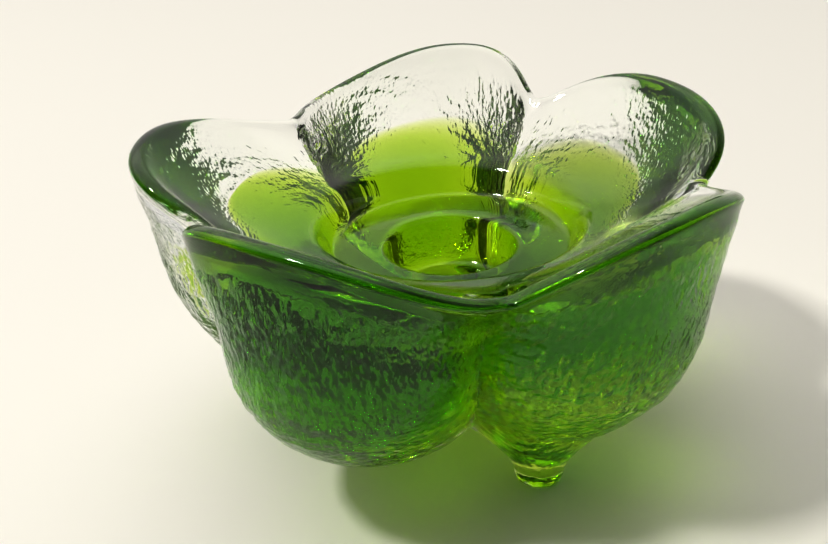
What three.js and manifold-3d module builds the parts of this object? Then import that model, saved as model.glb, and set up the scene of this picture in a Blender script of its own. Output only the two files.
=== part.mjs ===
// Footed glass bowl in the shape of a five-petalled flower, with a stepped socket in its middle.
// A thick clear casing carries the petals and the rim. A green core fills its base, and its bare top
// forms the recess, the ledge and the well of the socket. Three short feet stand under the belly.
// Millimetres, +Z up. The origin is the middle of the outline, on the plane that the feet stand on.

import * as THREE from 'three';
import { mergeVertices } from 'three/addons/utils/BufferGeometryUtils.js';
import Module from 'manifold-3d';

const { lerp, clamp, degToRad } = THREE.MathUtils;

// Axes, as [x, y]: hand-pressed glass, so rim, body and socket are a little off centre to each other.
const RIM_AXIS = [2.2, -0.6];
const BODY_AXIS = [0.7, 0.5];
const SOCKET_AXIS = [3.2, 2.1];

// Petals, anticlockwise. Each starts at a crease and ends at the next petal's crease.
// crease: angle in degrees, creaseRadius: rim radius there, reach and lift: how far the tip stands
// out and up from the creases, lean: how far the top of the petal leans towards the next crease.
const PETALS = [
  { crease: -82, creaseRadius: 52.0, reach: 6.8, lift: 9.5, lean: -0.2 },
  { crease: -12, creaseRadius: 49.0, reach: 6.0, lift: 8.5, lean: 0.0 },
  { crease: 61, creaseRadius: 49.0, reach: 8.5, lift: 9.5, lean: -0.45 },
  { crease: 132, creaseRadius: 49.5, reach: 10.0, lift: 8.5, lean: 0.3 },
  { crease: 204, creaseRadius: 48.5, reach: 7.0, lift: 10.0, lean: -0.1 },
];
const CREASE_RIM_HEIGHT = 54;
const RIM_PLAN_POWER = 4.6;
const RIM_LIFT_POWER = 2.4;

// Outer profile from rim to base: down a petal's middle, and down a crease between two petals.
// level: place along the profile, roundness: power of the petal's bulge at that level.
const PROFILE = [
  { level: 0.0, petal: [57.5, 63.0], crease: [49.2, 54.0], roundness: RIM_PLAN_POWER },
  { level: 0.16, petal: [57.5, 49.0], crease: [41.0, 44.0], roundness: 2.4 },
  { level: 0.32, petal: [55.5, 32.0], crease: [35.5, 33.0], roundness: 2.2 },
  { level: 0.48, petal: [49.0, 20.5], crease: [33.5, 22.5], roundness: 2.1 },
  { level: 0.62, petal: [38.5, 12.5], crease: [28.0, 14.0], roundness: 1.9 },
  { level: 0.76, petal: [26.0, 7.8], crease: [19.0, 9.5], roundness: 2.0 },
  { level: 0.88, petal: [14.0, 7.2], crease: [10.0, 8.0], roundness: 2.0 },
  { level: 1.0, petal: [0.0, 8.0], crease: [0.0, 8.0], roundness: 2.0 },
];
const RIM_INFLUENCE = 0.5; // level at which the rim's own outline has faded out
const LIFT_BLEND = 0.16; // level at which a petal's top curve has turned into its bulge

const RIM_THICKNESS = 3.8;
const RIM_ROUND = 1.2;

// Socket, from the scoop inwards: [radius, height] from SOCKET_AXIS.
const SHOULDER = [28, 44.5];
const SHOULDER_ROUND = [[24.8, 40.8], [26.4, 43.4]];
const LEDGE_OUTER = [24, 38];
const LEDGE_INNER = [13.6, 38];
const WELL_MOUTH = [12.8, 37.3];
const WELL_FOOT = [12.2, 28.2];
const WELL_FLOOR = [10.8, 27];
const SCOOP_POWER = 1.5;

// The core follows the outer body, shrunk about a point on the body's axis.
const CORE_SCALE = 0.83;
const CORE_CENTRE_HEIGHT = 45;
const POCKET_SCALE = 0.856;
const CORE_TOP_LEVEL = 0.25; // level from which the core follows the outer body
const CORE_EDGE_PETAL = 0.5; // place of the core's bare edge on the scoop, 0 rim to 1 shoulder
const CORE_EDGE_CREASE = 0.9;
const CORE_EDGE_HEIGHT = 0.8;
const POCKET_EDGE_STEP = 0.06;

// Feet.
const FOOT_RING_RADIUS = 30.6;
const FOOT_ANGLES = { foot_front: -56, foot_back_right: 64, foot_left: 184 };
const FOOT_PROFILE = [
  [0, 0], [3.6, 0], [4.5, 0.5], [4.8, 1.7], [5.3, 3.9], [6.2, 6], [7.4, 8], [7.4, 11.5], [0, 11.5],
];
const FOOT_SEGMENTS = 24;
const FIT_GAP = 0.3;

// Mesh fineness.
const COLUMNS_PER_PETAL = 14;
const OUTER_ROWS = 14;
const SCOOP_ROWS = 4;
const CORE_SCOOP_ROWS = 3;
const POCKET_ROWS = 9;

// Smooth value through the profile's entries, with slopes taken from the entries on either side.
function alongProfile(level, value) {
  const last = PROFILE.length - 1;
  let i = 0;
  while (i < last - 1 && level > PROFILE[i + 1].level) i += 1;
  const slope = (k) => {
    const before = PROFILE[Math.max(k - 1, 0)];
    const after = PROFILE[Math.min(k + 1, last)];
    return (value(after) - value(before)) / (after.level - before.level);
  };
  const step = PROFILE[i + 1].level - PROFILE[i].level;
  const s = clamp((level - PROFILE[i].level) / step, 0, 1);
  const ease = s * s * (3 - 2 * s);
  const startSlope = s * (1 - s) ** 2 * step * slope(i);
  const endSlope = -s * s * (1 - s) * step * slope(i + 1);
  return lerp(value(PROFILE[i]), value(PROFILE[i + 1]), ease) + startSlope + endSlope;
}

// What one column of the bowl needs to know: its angle, and its place across its petal.
function makeColumn(petalIndex, share) {
  const petal = PETALS[petalIndex];
  const next = PETALS[(petalIndex + 1) % PETALS.length];
  const endAngle = next.crease + (next.crease < petal.crease ? 360 : 0);
  const across = 2 * share - 1;
  return {
    angle: degToRad(lerp(petal.crease, endAngle, share)),
    across,
    leaning: across - petal.lean * (1 - across * across),
    creaseRadius: lerp(petal.creaseRadius, next.creaseRadius, share),
    reach: petal.reach,
    lift: petal.lift,
  };
}

// Columns crowd towards the creases, where the outer skin turns sharply.
const columns = [];
for (let petalIndex = 0; petalIndex < PETALS.length; petalIndex += 1) {
  for (let k = 0; k < COLUMNS_PER_PETAL; k += 1) {
    columns.push(makeColumn(petalIndex, (1 - Math.cos(Math.PI * k / COLUMNS_PER_PETAL)) / 2));
  }
}

function place(axis, radius, height, angle) {
  return new THREE.Vector3(axis[0] + radius * Math.cos(angle), axis[1] + radius * Math.sin(angle), height);
}

function mixAxes(from, to, share) {
  return [lerp(from[0], to[0], share), lerp(from[1], to[1], share)];
}

// Outer skin of the bowl, at a level from 0 at the rim to 1 at the base's middle.
function outerPoint(column, level) {
  const bulge = 1 - Math.abs(column.across) ** alongProfile(level, (p) => p.roundness);
  const top = 1 - Math.abs(column.leaning) ** RIM_LIFT_POWER;
  const heightBulge = lerp(top, bulge, clamp(level / LIFT_BLEND, 0, 1));
  const rimShare = clamp(1 - level / RIM_INFLUENCE, 0, 1) ** 2;
  const creaseRadius = alongProfile(level, (p) => p.crease[0])
    + (column.creaseRadius - PROFILE[0].crease[0]) * rimShare;
  const petalRadius = alongProfile(level, (p) => p.petal[0])
    + (column.creaseRadius + column.reach - PROFILE[0].petal[0]) * rimShare;
  const creaseHeight = alongProfile(level, (p) => p.crease[1]);
  const petalHeight = alongProfile(level, (p) => p.petal[1])
    + (CREASE_RIM_HEIGHT + column.lift - PROFILE[0].petal[1]) * rimShare;
  const radius = lerp(creaseRadius, petalRadius, bulge);
  const height = lerp(creaseHeight, petalHeight, heightBulge);
  return place(mixAxes(BODY_AXIS, RIM_AXIS, rimShare), radius, height, column.angle);
}

// Inner edge of the rim, and the scoop from there (0) to the socket's shoulder (1).
function scoopPoint(column, share) {
  const rim = outerPoint(column, 0);
  const rimRadius = Math.hypot(rim.x - RIM_AXIS[0], rim.y - RIM_AXIS[1]) - RIM_THICKNESS;
  const radius = lerp(rimRadius, SHOULDER[0], share);
  const height = lerp(SHOULDER[1], rim.z - RIM_ROUND, (1 - share) ** SCOOP_POWER);
  return place(mixAxes(RIM_AXIS, SOCKET_AXIS, share), radius, height, column.angle);
}

function coreEdgeShare(column) {
  return lerp(CORE_EDGE_PETAL, CORE_EDGE_CREASE, column.across ** 4);
}

// Side and underside of the core or of its pocket: share 0 is just under the bare edge, 1 the middle.
function undersidePoint(column, share, scale, edgeShare) {
  const topShare = 1 / POCKET_ROWS;
  const level = lerp(CORE_TOP_LEVEL, 1, clamp((share - topShare) / (1 - topShare), 0, 1));
  const outer = outerPoint(column, level);
  const centre = new THREE.Vector3(BODY_AXIS[0], BODY_AXIS[1], CORE_CENTRE_HEIGHT);
  const shrunk = outer.sub(centre).multiplyScalar(scale).add(centre);
  const edge = scoopPoint(column, edgeShare);
  edge.z -= CORE_EDGE_HEIGHT;
  return edge.lerp(shrunk, clamp(share / topShare, 0, 1));
}

const ring = (pointOf) => columns.map(pointOf);
const socketRing = ([radius, height]) => ring((column) => place(SOCKET_AXIS, radius, height, column.angle));

// Closed body from a first pole, rings of points in order, and a last pole. The order runs up the
// outside of the body, or down it where inward is true.
function bodyFromRings(firstPole, rings, lastPole, inward) {
  const count = columns.length;
  const points = [firstPole, ...rings.flat(), lastPole];
  const index = [];
  const at = (row, k) => 1 + row * count + (k % count);
  for (let k = 0; k < count; k += 1) {
    index.push(0, at(0, k + 1), at(0, k));
    index.push(points.length - 1, at(rings.length - 1, k), at(rings.length - 1, k + 1));
    for (let row = 0; row + 1 < rings.length; row += 1) {
      index.push(at(row, k), at(row, k + 1), at(row + 1, k + 1));
      index.push(at(row, k), at(row + 1, k + 1), at(row + 1, k));
    }
  }
  const geometry = new THREE.BufferGeometry().setFromPoints(points);
  geometry.setIndex(inward ? index.reverse() : index);
  geometry.computeVertexNormals();
  return geometry;
}

const steps = (count) => Array.from({ length: count + 1 }, (_, k) => k / count);
const poleUnder = (scale) => undersidePoint(columns[0], 1, scale, coreEdgeShare(columns[0]));

function casingGeometry() {
  const pocketEdge = (column) => coreEdgeShare(column) - POCKET_EDGE_STEP;
  const outside = steps(OUTER_ROWS).slice(1, -1).reverse()
    .map((level) => ring((column) => outerPoint(column, level)));
  const rimOutside = ring((column) => {
    const point = outerPoint(column, 0);
    point.z -= RIM_ROUND;
    return point;
  });
  const rimTop = ring((column) => {
    const point = outerPoint(column, 0);
    const inner = scoopPoint(column, 0);
    inner.z = point.z;
    return point.lerp(inner, 0.4);
  });
  const scoop = steps(SCOOP_ROWS)
    .map((share) => ring((column) => scoopPoint(column, share * pocketEdge(column))));
  const pocket = steps(POCKET_ROWS).slice(0, -1)
    .map((share) => ring((column) => undersidePoint(column, share, POCKET_SCALE, pocketEdge(column))));
  const rings = [...outside, rimOutside, rimTop, ...scoop, ...pocket];
  return bodyFromRings(outerPoint(columns[0], 1), rings, poleUnder(POCKET_SCALE), false);
}

function coreGeometry() {
  const wellMiddle = place(SOCKET_AXIS, 0, WELL_FLOOR[1], 0);
  const socket = [WELL_FLOOR, WELL_FOOT, WELL_MOUTH, LEDGE_INNER, LEDGE_OUTER, ...SHOULDER_ROUND]
    .map(socketRing);
  const scoop = steps(CORE_SCOOP_ROWS)
    .map((share) => ring((column) => scoopPoint(column, lerp(1, coreEdgeShare(column), share))));
  const underside = steps(POCKET_ROWS).slice(0, -1)
    .map((share) => ring((column) => undersidePoint(column, share, CORE_SCALE, coreEdgeShare(column))));
  return bodyFromRings(wellMiddle, [...socket, ...scoop, ...underside], poleUnder(CORE_SCALE), true);
}

const manifold = await Module();
manifold.setup();

function toSolid(geometry) {
  const bare = geometry.clone();
  bare.deleteAttribute('normal');
  bare.deleteAttribute('uv');
  const merged = mergeVertices(bare, 1e-4);
  return new manifold.Manifold(new manifold.Mesh({
    numProp: 3,
    vertProperties: new Float32Array(merged.attributes.position.array),
    triVerts: new Uint32Array(merged.index.array),
  }));
}

function toGeometry(solid) {
  const mesh = solid.getMesh();
  const geometry = new THREE.BufferGeometry();
  geometry.setAttribute('position', new THREE.BufferAttribute(new Float32Array(mesh.vertProperties), 3));
  geometry.setIndex(new THREE.BufferAttribute(new Uint32Array(mesh.triVerts), 1));
  geometry.computeVertexNormals();
  return geometry;
}

// A foot is a turned stub whose top is cut to the belly, a fit gap below it.
function footGeometry(angle, casing) {
  const outline = FOOT_PROFILE.map(([radius, height]) => new THREE.Vector2(radius, height));
  const stub = new THREE.LatheGeometry(outline, FOOT_SEGMENTS).rotateX(Math.PI / 2);
  const spot = place(BODY_AXIS, FOOT_RING_RADIUS, 0, degToRad(angle));
  stub.translate(spot.x, spot.y, 0);
  const belly = toSolid(casing.clone().translate(0, 0, -FIT_GAP));
  return toGeometry(toSolid(stub).subtract(belly));
}

const clearGlass = () => new THREE.MeshStandardMaterial({ color: 0xdfe6dc, roughness: 0.08, metalness: 0 });
const greenGlass = () => new THREE.MeshStandardMaterial({ color: 0x86bf2a, roughness: 0.05, metalness: 0 });
const footGlass = () => new THREE.MeshStandardMaterial({ color: 0x4f9a3a, roughness: 0.06, metalness: 0 });

function addMesh(group, name, geometry, material) {
  const mesh = new THREE.Mesh(geometry, material);
  mesh.name = name;
  group.add(mesh);
}

const bowl = new THREE.Group();
const casing = casingGeometry();
addMesh(bowl, 'clear_casing', casing, clearGlass());
addMesh(bowl, 'green_core', coreGeometry(), greenGlass());
for (const [name, angle] of Object.entries(FOOT_ANGLES)) {
  addMesh(bowl, name, footGeometry(angle, casing), footGlass());
}

export default bowl;
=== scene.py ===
"""Looks for the footed flower bowl: one continuous clear glass body with a bark-textured outside,
and a green core inside it that takes its colour from the depth of glass.

Shapes are worked out in millimetres with the same driving dimensions as the CAD part, and are
scaled to metres when a mesh is made. +Z is up, and the bowl stands on the plane z = 0.
"""
import math

import bpy
import numpy as np
from mathutils import Matrix, Vector, noise


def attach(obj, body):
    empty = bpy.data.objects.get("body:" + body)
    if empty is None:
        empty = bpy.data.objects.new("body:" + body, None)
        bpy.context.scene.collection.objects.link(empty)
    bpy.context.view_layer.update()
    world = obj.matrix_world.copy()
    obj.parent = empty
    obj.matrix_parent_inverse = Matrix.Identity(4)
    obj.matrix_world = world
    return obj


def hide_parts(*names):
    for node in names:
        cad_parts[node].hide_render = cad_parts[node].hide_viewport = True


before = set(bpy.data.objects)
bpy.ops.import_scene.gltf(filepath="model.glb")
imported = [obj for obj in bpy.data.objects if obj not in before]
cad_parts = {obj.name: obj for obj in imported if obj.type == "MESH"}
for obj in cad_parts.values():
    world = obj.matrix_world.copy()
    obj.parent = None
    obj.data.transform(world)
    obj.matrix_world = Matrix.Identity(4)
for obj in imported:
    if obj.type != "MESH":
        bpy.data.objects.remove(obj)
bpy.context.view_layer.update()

MM = 0.001

# ---------------------------------------------------------------- driving dimensions, millimetres
RIM_AXIS = np.array([2.2, -0.6])
BODY_AXIS = np.array([0.7, 0.5])
SOCKET_AXIS = np.array([3.2, 2.1])

# Petals, anticlockwise: (crease angle in degrees, rim radius at the crease, reach, lift, lean).
PETALS = [
    (-82, 52.0, 6.8, 9.5, -0.2),
    (-12, 49.0, 6.0, 8.5, 0.0),
    (61, 49.0, 8.5, 9.5, -0.45),
    (132, 49.5, 10.0, 8.5, 0.3),
    (204, 48.5, 7.0, 10.0, -0.1),
]
CREASE_RIM_HEIGHT = 54.0
RIM_LIFT_POWER = 2.4

# Outer profile from rim to base: (level, petal radius, height, crease radius, height, roundness).
PROFILE = np.array([
    (0.00, 57.5, 63.0, 49.2, 54.0, 4.6),
    (0.16, 57.5, 49.0, 41.0, 44.0, 2.4),
    (0.32, 55.5, 32.0, 35.5, 33.0, 2.2),
    (0.48, 49.0, 20.5, 33.5, 22.5, 2.1),
    (0.62, 38.5, 12.5, 28.0, 14.0, 1.9),
    (0.76, 26.0, 7.8, 19.0, 9.5, 2.0),
    (0.88, 14.0, 7.2, 10.0, 8.0, 2.0),
    (1.00, 0.0, 8.0, 0.0, 8.0, 2.0),
])
RIM_INFLUENCE = 0.5  # level at which the rim's own outline has faded out
LIFT_BLEND = 0.16  # level at which a petal's top curve has turned into its bulge
CREASE_SOFTNESS = 0.022  # share of half a petal over which a crease is rounded
RIM_SOFTNESS = 0.10  # further rounding of the creases at the rim
RIM_SOFT_LEVEL = 0.2  # level at which that further rounding has faded out

RIM_THICKNESS = 3.8
RIM_ROUND = 1.2
# Socket, from the scoop inwards: (radius, height) from SOCKET_AXIS.
SHOULDER = (28.0, 44.5)
SOCKET_PROFILE = [
    (26.4, 43.4), (24.8, 40.8), (24.0, 38.0), (13.6, 38.0), (12.8, 37.3), (12.2, 28.2), (10.8, 27.0),
]
SCOOP_POWER = 1.5

# The core follows the outer body, shrunk about a point on the body's axis.
CORE_SCALE = 0.83
CORE_CENTRE_HEIGHT = 45.0
CORE_TOP_LEVEL = 0.25  # level from which it does so
CORE_EDGE_PETAL = 0.5  # place of the core's edge on the scoop, 0 rim to 1 shoulder
CORE_EDGE_CREASE = 0.9
CORE_SINK = 0.15  # how far the core's colour starts under the bare surface
UNDER_RIM_LEVEL = 0.08  # level by which the outer skin has met the underside of the rounded rim

FOOT_RING_RADIUS = 30.6
FOOT_ANGLES = (-56, 64, 184)
FOOT_REACH = 13.0  # plan radius over which the belly is drawn down into a foot
# Foot profile: (share of reach, radius, height), from the pad's middle up into the belly.
FOOT_PROFILE = np.array([
    (0.00, 0.0, 0.0), (0.27, 3.6, 0.0), (0.34, 4.5, 0.5), (0.41, 4.8, 1.7), (0.53, 5.3, 3.9),
    (0.66, 6.2, 6.0), (0.82, 8.4, 8.0), (1.00, 13.0, 9.6),
])
FOOT_BLEND = (0.62, 1.0)  # shares of reach over which the foot's profile gives way to the belly
FOOT_INSET = 1.0  # depth of clear glass round the green inside a foot
FOOT_INSET_SHARE = 0.3  # share of reach over which that depth grows from nothing
FOOT_ZONE_HEIGHT = 30.0  # only rings lower than this are drawn into the feet

# Bark relief of the outer skin. Places are distances down the skin from the rim.
BARK_DEPTH = 0.42
WAVE_DEPTH = 0.28
BARK_START = (1.5, 7.0)  # grows to full depth under the polished rim
BARK_TURN = (22, 44)  # upright streaks turn into level ones
BARK_END = (44, 60)
BARK_LOSS = 0.8  # share of the relief that is gone under the belly
SKIN_RADIUS = 50.0  # radius of the cylinder that the skin is unrolled from

# ---------------------------------------------------------------- mesh fineness
COLUMNS_PER_PETAL = 80
OUTER_ROWS = 140
RIM_ROWS = 12
SCOOP_ROWS = 30
SOCKET_STEP = 0.8
WELL_FLOOR_ROWS = 8
CORE_COLUMNS_PER_PETAL = 40
CORE_UNDER_ROWS = 40
CORE_SIDE_ROWS = 12
CORE_SCOOP_ROWS = 16

# ---------------------------------------------------------------- colours and fine grain
CLEAR_COLOUR = (0.98, 0.99, 0.975, 1)
GLASS_IOR = 1.5
GREEN_COLOUR = (0.81, 0.905, 0.12, 1)
GREEN_DENSITY = 285
TABLE_DARK = (0.86, 0.84, 0.785, 1)
TABLE_LIGHT = (0.89, 0.87, 0.815, 1)
GRAIN_DEPTH = 0.36
GRAIN_LONG = 0.65  # grains to the millimetre along a streak
GRAIN_SHORT = 1.3  # and across it
GRAIN_START = (2, 9)
GRAIN_TURN = (20, 42)
GRAIN_END = (38, 56)
GRAIN_LOSS = 0.85

# ---------------------------------------------------------------- camera and light
CAMERA_PLACE = Vector((-4.4, -186.6, 131.1)) * MM
CAMERA_TILT = math.radians(27.8)
CAMERA_ROLL = math.radians(-2.9)
CAMERA_LENS = 45.7
SENSOR_WIDTH = 36
CLIP_START = 0.005

# Room light. CEILING and BACK are (where it starts, where it is full, full strength) along the
# ceiling's axis and along +Y.
ROOM = 0.04
CEILING = (0.60, 0.92, 1.6)
CEILING_AXIS = (-0.25, 0.4, 0.88)
BACK = (0.0, 0.8, 0.75)
ROOM_COLOUR = (1.0, 0.98, 0.95, 1)

# Key lamp, in metres and watts.
KEY_PLACE = Vector((-1.00, -0.34, 1.70))
KEY_TARGET = Vector((0, 0, 0.02))
KEY_SIZE = 0.22
KEY_POWER = 19
KEY_COLOUR = (1.0, 0.98, 0.94)

FLOOR_HALF = 4.0  # metres
FLOOR_HEIGHT = -0.05 * MM  # a hair under the pads, so that no two faces share a plane

VIEW_GAMMA = 0.74
VIEW_EXPOSURE = 0.02
BOUNCES = 32  # light crosses many glass surfaces on its way through


def smoothstep(low, high, x):
    s = np.clip((x - low) / (high - low), 0, 1)
    return s * s * (3 - 2 * s)


def along_profile(level, values):
    """Smooth curve through one column of PROFILE, for an array of levels."""
    knots = PROFILE[:, 0]
    slopes = np.empty(len(knots))
    slopes[1:-1] = (values[2:] - values[:-2]) / (knots[2:] - knots[:-2])
    slopes[0] = (values[1] - values[0]) / (knots[1] - knots[0])
    slopes[-1] = (values[-1] - values[-2]) / (knots[-1] - knots[-2])
    i = np.clip(np.searchsorted(knots, level, side="right") - 1, 0, len(knots) - 2)
    step = knots[i + 1] - knots[i]
    s = (level - knots[i]) / step
    ease = s * s * (3 - 2 * s)
    start = s * (1 - s) ** 2 * step * slopes[i]
    end = -s * s * (1 - s) * step * slopes[i + 1]
    return values[i] * (1 - ease) + values[i + 1] * ease + start + end


class Columns:
    """Angles of the bowl's columns, and each column's place across its petal."""

    def __init__(self, per_petal):
        angle, across, radius, reach, lift, lean = [], [], [], [], [], []
        even = np.arange(per_petal) / per_petal
        # Half evenly spaced, half crowded towards the creases, where the outer skin turns sharply.
        share = 0.5 * even + 0.5 * (1 - np.cos(np.pi * even)) / 2
        for k, (crease, crease_radius, petal_reach, petal_lift, petal_lean) in enumerate(PETALS):
            following = PETALS[(k + 1) % len(PETALS)]
            end = following[0] + (360 if following[0] < crease else 0)
            angle.append(np.radians(crease + (end - crease) * share))
            across.append(2 * share - 1)
            radius.append(crease_radius + (following[1] - crease_radius) * share)
            reach.append(np.full(per_petal, petal_reach))
            lift.append(np.full(per_petal, petal_lift))
            lean.append(np.full(per_petal, petal_lean))
        self.angle = np.concatenate(angle)
        self.across = np.concatenate(across)
        self.crease_radius = np.concatenate(radius)
        self.reach = np.concatenate(reach)
        self.lift = np.concatenate(lift)
        lean = np.concatenate(lean)
        self.leaning = self.across - lean * (1 - self.across ** 2)
        self.cos = np.cos(self.angle)
        self.sin = np.sin(self.angle)
        self.count = len(self.angle)


def from_crease(across, softness):
    """Place across a petal as seen from its nearer crease, rounded close to the crease."""
    distance = 1 - np.abs(across)
    rounded = np.sqrt(distance ** 2 + softness ** 2) - softness
    return np.clip(1 - rounded / (math.sqrt(1 + softness ** 2) - softness), 0, 1)


def place(axis, radius, height, columns):
    """Ring of points at a radius and height, round one axis or an axis for each column."""
    axis = np.asarray(axis)
    return np.stack([
        axis[..., 0] + radius * columns.cos,
        axis[..., 1] + radius * columns.sin,
        height + 0 * columns.cos,
    ], -1)


def outer_ring(columns, level):
    """One ring of the outer skin, at a level from 0 at the rim to 1 at the base's middle."""
    at = [float(along_profile(np.array(level), PROFILE[:, k])) for k in range(1, 6)]
    petal_radius, petal_height, crease_radius, crease_height, roundness = at
    softness = CREASE_SOFTNESS + RIM_SOFTNESS * max(1 - level / RIM_SOFT_LEVEL, 0) ** 2
    edge = from_crease(columns.across, softness)
    bulge = 1 - edge ** roundness
    top = 1 - from_crease(columns.leaning, softness) ** RIM_LIFT_POWER
    blend = min(level / LIFT_BLEND, 1)
    height_bulge = top * (1 - blend) + bulge * blend
    rim_share = max(1 - level / RIM_INFLUENCE, 0) ** 2
    inner = crease_radius + (columns.crease_radius - PROFILE[0, 3]) * rim_share
    outer = petal_radius + (columns.crease_radius + columns.reach - PROFILE[0, 1]) * rim_share
    high = petal_height + (CREASE_RIM_HEIGHT + columns.lift - PROFILE[0, 2]) * rim_share
    radius = inner + (outer - inner) * bulge
    height = crease_height + (high - crease_height) * height_bulge
    axis = BODY_AXIS + (RIM_AXIS - BODY_AXIS) * rim_share
    return place(axis, radius, height, columns)


def scoop_ring(columns, share):
    """One ring of the polished scoop, from the rim's inner edge (0) to the socket's shoulder (1).
    share may differ from column to column."""
    rim = outer_ring(columns, 0)
    rim_radius = np.hypot(rim[:, 0] - RIM_AXIS[0], rim[:, 1] - RIM_AXIS[1]) - RIM_THICKNESS
    share = share + 0 * columns.angle
    high = rim[:, 2] - RIM_ROUND
    height = SHOULDER[1] + (high - SHOULDER[1]) * (1 - share) ** SCOOP_POWER
    radius = rim_radius + (SHOULDER[0] - rim_radius) * share
    axis = RIM_AXIS + (SOCKET_AXIS - RIM_AXIS) * share[:, None]
    return place(axis, radius, height, columns)


def rim_rings(columns, rows):
    """Rounded rim, from the outer skin over the top to the scoop."""
    rim = outer_ring(columns, 0)
    radius = np.hypot(rim[:, 0] - RIM_AXIS[0], rim[:, 1] - RIM_AXIS[1])
    half = RIM_THICKNESS / 2
    rings = []
    for turn in np.linspace(0, math.pi, rows):
        height = rim[:, 2] - RIM_ROUND + RIM_ROUND * math.sin(turn)
        rings.append(place(RIM_AXIS, radius - half + half * math.cos(turn), height, columns))
    return rings


def socket_rings(columns, sink):
    """Shoulder, recess, ledge and well, lowered by sink into the glass."""
    outline = [SHOULDER] + SOCKET_PROFILE
    rings = []
    for (r0, z0), (r1, z1) in zip(outline, outline[1:]):
        steps = max(2, int(math.hypot(r1 - r0, z1 - z0) / SOCKET_STEP))
        for k in range(1, steps + 1):
            radius = r0 + (r1 - r0) * k / steps
            height = z0 + (z1 - z0) * k / steps
            rings.append(place(SOCKET_AXIS, radius + sink, height - sink, columns))
    floor_radius, floor_height = outline[-1]
    for radius in np.linspace(floor_radius, 0, WELL_FLOOR_ROWS)[1:-1]:
        rings.append(place(SOCKET_AXIS, radius, floor_height - sink, columns))
    return rings


def soften_rows(rings, first, last, passes):
    """Rounds the corners from row first to row last, by averaging each row with its neighbours."""
    for _ in range(passes):
        block = rings[first:last]
        rings[first:last] = (rings[first - 1:last - 1] + 2 * block + rings[first + 1:last + 1]) / 4


def around_skin(columns, shape):
    """First two coordinates of a place on the skin: where its column stands on the cylinder."""
    x = np.broadcast_to(SKIN_RADIUS * columns.cos, shape)
    y = np.broadcast_to(SKIN_RADIUS * columns.sin, shape)
    return x, y


def skin_space(columns, rings):
    """Unrolled place on the skin: around a cylinder, and the distance down from the rim."""
    steps = np.linalg.norm(np.diff(rings, axis=0), axis=2).mean(axis=1)
    down = np.concatenate([[0], np.cumsum(steps)])
    x, y = around_skin(columns, rings.shape[:2])
    return np.stack([x, y, np.broadcast_to(down[:, None], rings.shape[:2])], -1)


def noise_field(skin, around_scale, down_scale, seed):
    """Smooth noise from -1 to 1 over the skin, stretched around it or down it."""
    scale = np.array([1 / around_scale, 1 / around_scale, 1 / down_scale])
    flat = (skin * scale).reshape(-1, 3) + seed
    values = [noise.noise(Vector(p)) for p in flat]
    return np.array(values).reshape(skin.shape[:2])


def ring_normals(rings):
    """Outward normals of a grid of rings whose rows run down the outside."""
    down = np.gradient(rings, axis=0)
    around = (np.roll(rings, -1, axis=1) - np.roll(rings, 1, axis=1)) / 2
    normal = np.cross(down, around)
    return normal / np.maximum(np.linalg.norm(normal, axis=2, keepdims=True), 1e-9)


def bark_relief(skin):
    """Height of the bark texture in millimetres: streaks down the petals' sides that turn into
    streaks around the belly, over a slow waviness, fading out under the polished rim."""
    upright = noise_field(skin, 1.5, 4.6, 11.0)
    across = noise_field(skin, 4.4, 1.5, 37.0)
    pits = noise_field(skin, 2.2, 2.0, 71.0)
    wave = noise_field(skin, 9.0, 7.0, 5.0)
    patch = noise_field(skin, 14.0, 11.0, 91.0)
    down = skin[..., 2]
    turn = smoothstep(*BARK_TURN, down)
    streaks = (1 - turn) * upright + turn * across
    ridges = 0.6 * (1 - 2.2 * np.abs(streaks)) + 0.5 * pits
    strength = 0.55 + 0.55 * smoothstep(-0.35, 0.35, patch)
    fade = smoothstep(*BARK_START, down) * (1 - BARK_LOSS * smoothstep(*BARK_END, down))
    return fade * (BARK_DEPTH * strength * ridges + WAVE_DEPTH * wave)


def draw_feet(rings, inset):
    """Draws the belly down into the feet: rings near a foot's axis are mapped onto its profile,
    set in from it by inset."""
    for degrees in FOOT_ANGLES:
        angle = math.radians(degrees)
        centre = BODY_AXIS + FOOT_RING_RADIUS * np.array([math.cos(angle), math.sin(angle)])
        offset = rings[..., :2] - centre
        distance = np.linalg.norm(offset, axis=-1)
        near = (distance < FOOT_REACH) & (rings[..., 2] < FOOT_ZONE_HEIGHT)
        share = distance[near] / FOOT_REACH
        radius = np.interp(share, FOOT_PROFILE[:, 0], FOOT_PROFILE[:, 1])
        height = np.interp(share, FOOT_PROFILE[:, 0], FOOT_PROFILE[:, 2]) + inset
        radius = np.maximum(radius - inset * smoothstep(0, FOOT_INSET_SHARE, share), 0)
        blend = smoothstep(*FOOT_BLEND, share)
        radius = radius * (1 - blend) + distance[near] * blend
        direction = offset[near] / np.maximum(distance[near], 1e-6)[:, None]
        moved = rings[near]
        moved[:, 2] = height * (1 - blend) + moved[:, 2] * blend
        moved[:, :2] = centre + direction * radius[:, None]
        rings[near] = moved
    return rings


def grid_mesh(name, rings, first_pole, last_pole):
    """Closed mesh from a pole, rings in order and a pole. The rings run up the outside."""
    rows, count = rings.shape[:2]
    points = np.concatenate([[first_pole], rings.reshape(-1, 3), [last_pole]]) * MM
    last = len(points) - 1
    here = np.arange(count)
    after = (here + 1) % count
    faces = [(0, 1 + b, 1 + a) for a, b in zip(here, after)]
    for row in range(rows - 1):
        low = 1 + row * count
        high = low + count
        faces += [(low + a, low + b, high + b, high + a) for a, b in zip(here, after)]
    top = 1 + (rows - 1) * count
    faces += [(top + a, top + b, last) for a, b in zip(here, after)]
    mesh = bpy.data.meshes.new(name)
    mesh.from_pydata([tuple(p) for p in points], [], faces)
    mesh.validate()
    mesh.shade_smooth()
    piece = bpy.data.objects.new(name, mesh)
    bpy.context.scene.collection.objects.link(piece)
    return piece


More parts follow.
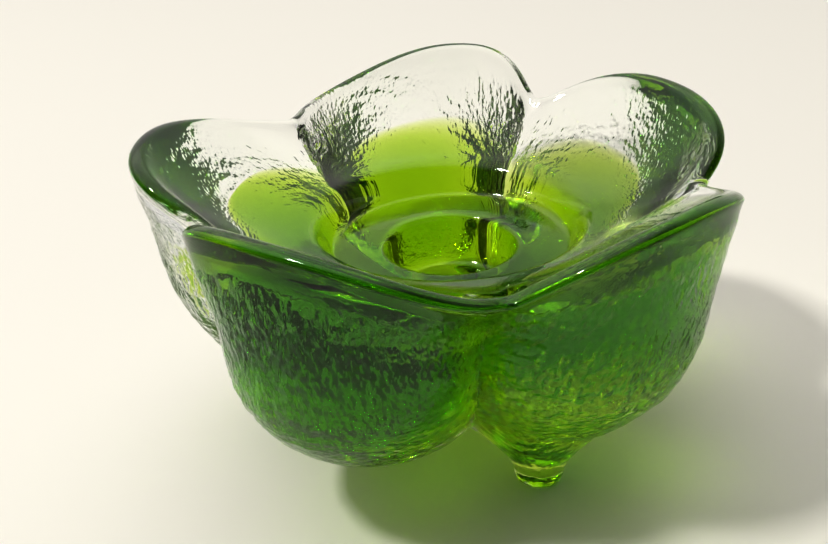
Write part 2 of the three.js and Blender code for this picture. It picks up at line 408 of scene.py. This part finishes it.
def add_attribute(piece, name, values):
    """Stores one vector for each point of a mesh, for its material to read."""
    attribute = piece.data.attributes.new(name, "FLOAT_VECTOR", "POINT")
    attribute.data.foreach_set("vector", np.asarray(values, np.float32).ravel())


def make_glass_body():
    """The whole bowl's surface: bark-textured outside, feet, rounded rim, scoop and socket."""
    columns = Columns(COLUMNS_PER_PETAL)
    levels = np.linspace(0, 1, OUTER_ROWS + 1)[:-1]
    outside = np.array([outer_ring(columns, level) for level in levels])
    under_rim = RIM_ROUND * (1 - np.clip(levels / UNDER_RIM_LEVEL, 0, 1)) ** 2
    outside[..., 2] -= under_rim[:, None]
    skin = skin_space(columns, outside)
    outside += ring_normals(outside) * bark_relief(skin)[..., None]
    outside = draw_feet(outside, 0)[::-1]

    over = np.array(rim_rings(columns, RIM_ROWS)[1:-1])
    scoop = np.array([scoop_ring(columns, s) for s in np.linspace(0, 1, SCOOP_ROWS)])
    socket = np.array(socket_rings(columns, 0))
    rings = np.concatenate([outside, over, scoop, socket])
    rim_start = len(outside)
    scoop_start = rim_start + len(over)
    soften_rows(rings, rim_start - 3, scoop_start + 4, 3)
    socket_start = scoop_start + len(scoop)
    soften_rows(rings, socket_start - 6, len(rings) - 1, 2)

    base = np.array([*BODY_AXIS, PROFILE[-1, 2]])
    floor = np.array([*SOCKET_AXIS, SOCKET_PROFILE[-1][1]])
    body = grid_mesh("glass_body", rings, base, floor)

    places = np.zeros((len(rings), columns.count, 3))
    places[:len(outside)] = skin[::-1]
    places[len(outside):, :, 0], places[len(outside):, :, 1] = around_skin(
        columns, (len(rings) - len(outside), columns.count))
    base_place = [[0, 0, skin[-1, 0, 2]]]
    floor_place = [[0, 0, 0]]
    add_attribute(body, "skin", np.concatenate([base_place, places.reshape(-1, 3), floor_place]))
    return body


def core_edge_share(columns):
    """Place of the core's edge on the scoop, which dips towards the shoulder at each crease."""
    return CORE_EDGE_PETAL + (CORE_EDGE_CREASE - CORE_EDGE_PETAL) * columns.across ** 4


def make_green_core():
    """Green core, inside the bowl's surface on every side."""
    columns = Columns(CORE_COLUMNS_PER_PETAL)
    centre = np.array([*BODY_AXIS, CORE_CENTRE_HEIGHT])
    edge_share = core_edge_share(columns)
    edge = scoop_ring(columns, edge_share)
    under = []
    for level in np.linspace(1, CORE_TOP_LEVEL, CORE_UNDER_ROWS)[1:]:
        under.append(centre + (outer_ring(columns, level) - centre) * CORE_SCALE)
    side = []
    for share in np.linspace(0, 1, CORE_SIDE_ROWS)[1:]:
        side.append(under[-1] + (edge - under[-1]) * share - np.array([0, 0, CORE_SINK]))
    scoop = []
    for share in np.linspace(0, 1, CORE_SCOOP_ROWS)[1:]:
        ring = scoop_ring(columns, edge_share + (1 - edge_share) * share)
        ring[:, 2] -= CORE_SINK * (1 + share)
        scoop.append(ring)
    socket = socket_rings(columns, CORE_SINK * 2)
    rings = np.concatenate([draw_feet(np.array(under), FOOT_INSET), side, scoop, socket])
    base = centre + (np.array([*BODY_AXIS, PROFILE[-1, 2]]) - centre) * CORE_SCALE
    floor = np.array([*SOCKET_AXIS, SOCKET_PROFILE[-1][1] - 2 * CORE_SINK])
    first_side = len(under)
    soften_rows(rings, first_side - 5, first_side + len(side) - 2, 8)
    soften_rows(rings, first_side + len(side) + len(scoop) - 4, len(rings) - 1, 2)
    return grid_mesh("core_glass", rings, base, floor)


# ---------------------------------------------------------------- materials
def new_material(name):
    """Empty node material, with its nodes, links and output node."""
    material = bpy.data.materials.new(name)
    material.use_nodes = True
    nodes = material.node_tree.nodes
    nodes.clear()
    output = nodes.new("ShaderNodeOutputMaterial")
    return material, nodes, material.node_tree.links, output


def ramp(nodes, links, value, low, high, top):
    """Node output that rises from 0 at low to top at high."""
    node = nodes.new("ShaderNodeMapRange")
    node.interpolation_type = "SMOOTHSTEP"
    node.inputs["From Min"].default_value = low
    node.inputs["From Max"].default_value = high
    node.inputs["To Max"].default_value = top
    links.new(value, node.inputs["Value"])
    return node.outputs[0]


def grain_noise(nodes, links, skin, stretch):
    """One octave of noise over the skin, with its own number of grains to the millimetre each way."""
    scaled = nodes.new("ShaderNodeVectorMath")
    scaled.operation = "MULTIPLY"
    scaled.inputs[1].default_value = stretch
    links.new(skin, scaled.inputs[0])
    grain = nodes.new("ShaderNodeTexNoise")
    grain.inputs["Scale"].default_value = 1.0
    grain.inputs["Detail"].default_value = 0.8
    grain.inputs["Roughness"].default_value = 0.4
    links.new(scaled.outputs[0], grain.inputs["Vector"])
    return grain.outputs["Fac"]


def clear_glass():
    """Clear glass, polished inside and on the rim, with a fine bark grain on the outer skin."""
    material, nodes, links, output = new_material("clear_glass")
    shader = nodes.new("ShaderNodeBsdfPrincipled")
    shader.inputs["Base Color"].default_value = CLEAR_COLOUR
    shader.inputs["Roughness"].default_value = 0.0
    shader.inputs["Transmission Weight"].default_value = 1
    shader.inputs["IOR"].default_value = GLASS_IOR
    skin = nodes.new("ShaderNodeAttribute")
    skin.attribute_name = "skin"
    apart = nodes.new("ShaderNodeSeparateXYZ")
    links.new(skin.outputs["Vector"], apart.inputs[0])
    down = apart.outputs["Z"]
    fade = nodes.new("ShaderNodeMath")
    fade.operation = "SUBTRACT"
    links.new(ramp(nodes, links, down, *GRAIN_START, 1), fade.inputs[0])
    links.new(ramp(nodes, links, down, *GRAIN_END, GRAIN_LOSS), fade.inputs[1])
    upright_stretch = (GRAIN_SHORT, GRAIN_SHORT, GRAIN_LONG)
    across_stretch = (GRAIN_LONG, GRAIN_LONG, GRAIN_SHORT)
    upright = grain_noise(nodes, links, skin.outputs["Vector"], upright_stretch)
    across = grain_noise(nodes, links, skin.outputs["Vector"], across_stretch)
    turn = ramp(nodes, links, down, *GRAIN_TURN, 1)
    grain = nodes.new("ShaderNodeMix")
    links.new(turn, grain.inputs["Factor"])
    links.new(upright, grain.inputs["A"])
    links.new(across, grain.inputs["B"])
    bump = nodes.new("ShaderNodeBump")
    bump.inputs["Distance"].default_value = GRAIN_DEPTH * MM
    links.new(grain.outputs["Result"], bump.inputs["Height"])
    links.new(fade.outputs[0], bump.inputs["Strength"])
    links.new(bump.outputs["Normal"], shader.inputs["Normal"])
    links.new(shader.outputs["BSDF"], output.inputs["Surface"])
    return material


def green_glass():
    """Green glass inside the clear glass: no surface of its own, only colour by depth."""
    material, nodes, links, output = new_material("green_glass")
    clear = nodes.new("ShaderNodeBsdfTransparent")
    absorb = nodes.new("ShaderNodeVolumeAbsorption")
    absorb.inputs["Color"].default_value = GREEN_COLOUR
    absorb.inputs["Density"].default_value = GREEN_DENSITY
    links.new(clear.outputs[0], output.inputs["Surface"])
    links.new(absorb.outputs[0], output.inputs["Volume"])
    return material


def table_white():
    """Pale warm tabletop with the faintest mottle."""
    material, nodes, links, output = new_material("table_white")
    shader = nodes.new("ShaderNodeBsdfPrincipled")
    shader.inputs["Roughness"].default_value = 0.7
    mottle = nodes.new("ShaderNodeTexNoise")
    mottle.inputs["Scale"].default_value = 6
    tone = nodes.new("ShaderNodeValToRGB")
    tone.color_ramp.elements[0].color = TABLE_DARK
    tone.color_ramp.elements[1].color = TABLE_LIGHT
    links.new(mottle.outputs["Fac"], tone.inputs["Fac"])
    links.new(tone.outputs["Color"], shader.inputs["Base Color"])
    links.new(shader.outputs["BSDF"], output.inputs["Surface"])
    return material


# ---------------------------------------------------------------- stage
def make_camera():
    camera = bpy.data.cameras.new("camera")
    camera.lens = CAMERA_LENS
    camera.sensor_width = SENSOR_WIDTH
    camera.clip_start = CLIP_START
    holder = bpy.data.objects.new("camera", camera)
    bpy.context.scene.collection.objects.link(holder)
    turn = Matrix.Rotation(math.pi / 2 - CAMERA_TILT, 4, "X") @ Matrix.Rotation(CAMERA_ROLL, 4, "Z")
    holder.matrix_world = Matrix.Translation(CAMERA_PLACE) @ turn
    bpy.context.scene.camera = holder


def make_key_lamp():
    """One soft lamp, up on the viewer's left."""
    light = bpy.data.lights.new("key", "AREA")
    light.size = KEY_SIZE
    light.energy = KEY_POWER
    light.color = KEY_COLOUR
    holder = bpy.data.objects.new("key", light)
    bpy.context.scene.collection.objects.link(holder)
    holder.location = KEY_PLACE
    holder.rotation_euler = (KEY_TARGET - KEY_PLACE).to_track_quat("-Z", "Y").to_euler()


def make_world():
    """Room light: bright overhead, less so behind the bowl, dark behind the viewer and low down."""
    world = bpy.data.worlds.new("room")
    world.use_nodes = True
    nodes = world.node_tree.nodes
    links = world.node_tree.links
    nodes.clear()
    output = nodes.new("ShaderNodeOutputWorld")
    background = nodes.new("ShaderNodeBackground")
    where = nodes.new("ShaderNodeTexCoord")
    apart = nodes.new("ShaderNodeSeparateXYZ")
    links.new(where.outputs["Generated"], apart.inputs[0])
    toward = nodes.new("ShaderNodeVectorMath")
    toward.operation = "DOT_PRODUCT"
    toward.inputs[1].default_value = CEILING_AXIS
    links.new(where.outputs["Generated"], toward.inputs[0])
    overhead = ramp(nodes, links, toward.outputs["Value"], *CEILING)
    behind = ramp(nodes, links, apart.outputs["Y"], *BACK)
    brighter = nodes.new("ShaderNodeMath")
    brighter.operation = "MAXIMUM"
    links.new(overhead, brighter.inputs[0])
    links.new(behind, brighter.inputs[1])
    both = nodes.new("ShaderNodeMath")
    both.operation = "ADD"
    both.inputs[1].default_value = ROOM
    links.new(brighter.outputs[0], both.inputs[0])
    background.inputs["Color"].default_value = ROOM_COLOUR
    links.new(both.outputs[0], background.inputs["Strength"])
    links.new(background.outputs[0], output.inputs["Surface"])
    bpy.context.scene.world = world


def make_floor():
    mesh = bpy.data.meshes.new("floor")
    signs = ((-1, -1), (1, -1), (1, 1), (-1, 1))
    corners = [(x * FLOOR_HALF, y * FLOOR_HALF, FLOOR_HEIGHT) for x, y in signs]
    mesh.from_pydata(corners, [], [(0, 1, 2, 3)])
    floor = bpy.data.objects.new("floor", mesh)
    bpy.context.scene.collection.objects.link(floor)
    floor.data.materials.append(table_white())


def set_view():
    """Display tone, and enough light bounces for thick glass."""
    scene = bpy.context.scene
    scene.view_settings.view_transform = "Standard"
    scene.view_settings.gamma = VIEW_GAMMA
    scene.view_settings.exposure = VIEW_EXPOSURE
    scene.cycles.max_bounces = BOUNCES
    scene.cycles.transmission_bounces = BOUNCES
    scene.cycles.transparent_max_bounces = BOUNCES
    scene.cycles.sample_clamp_indirect = 0


def main():
    make_camera()
    make_world()
    make_floor()
    make_key_lamp()
    set_view()

    body = make_glass_body()
    body.data.materials.append(clear_glass())
    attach(body, "root")
    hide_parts("clear_casing", "foot_front", "foot_back_right", "foot_left")

    core = make_green_core()
    core.data.materials.append(green_glass())
    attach(core, "root")
    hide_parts("green_core")


main()
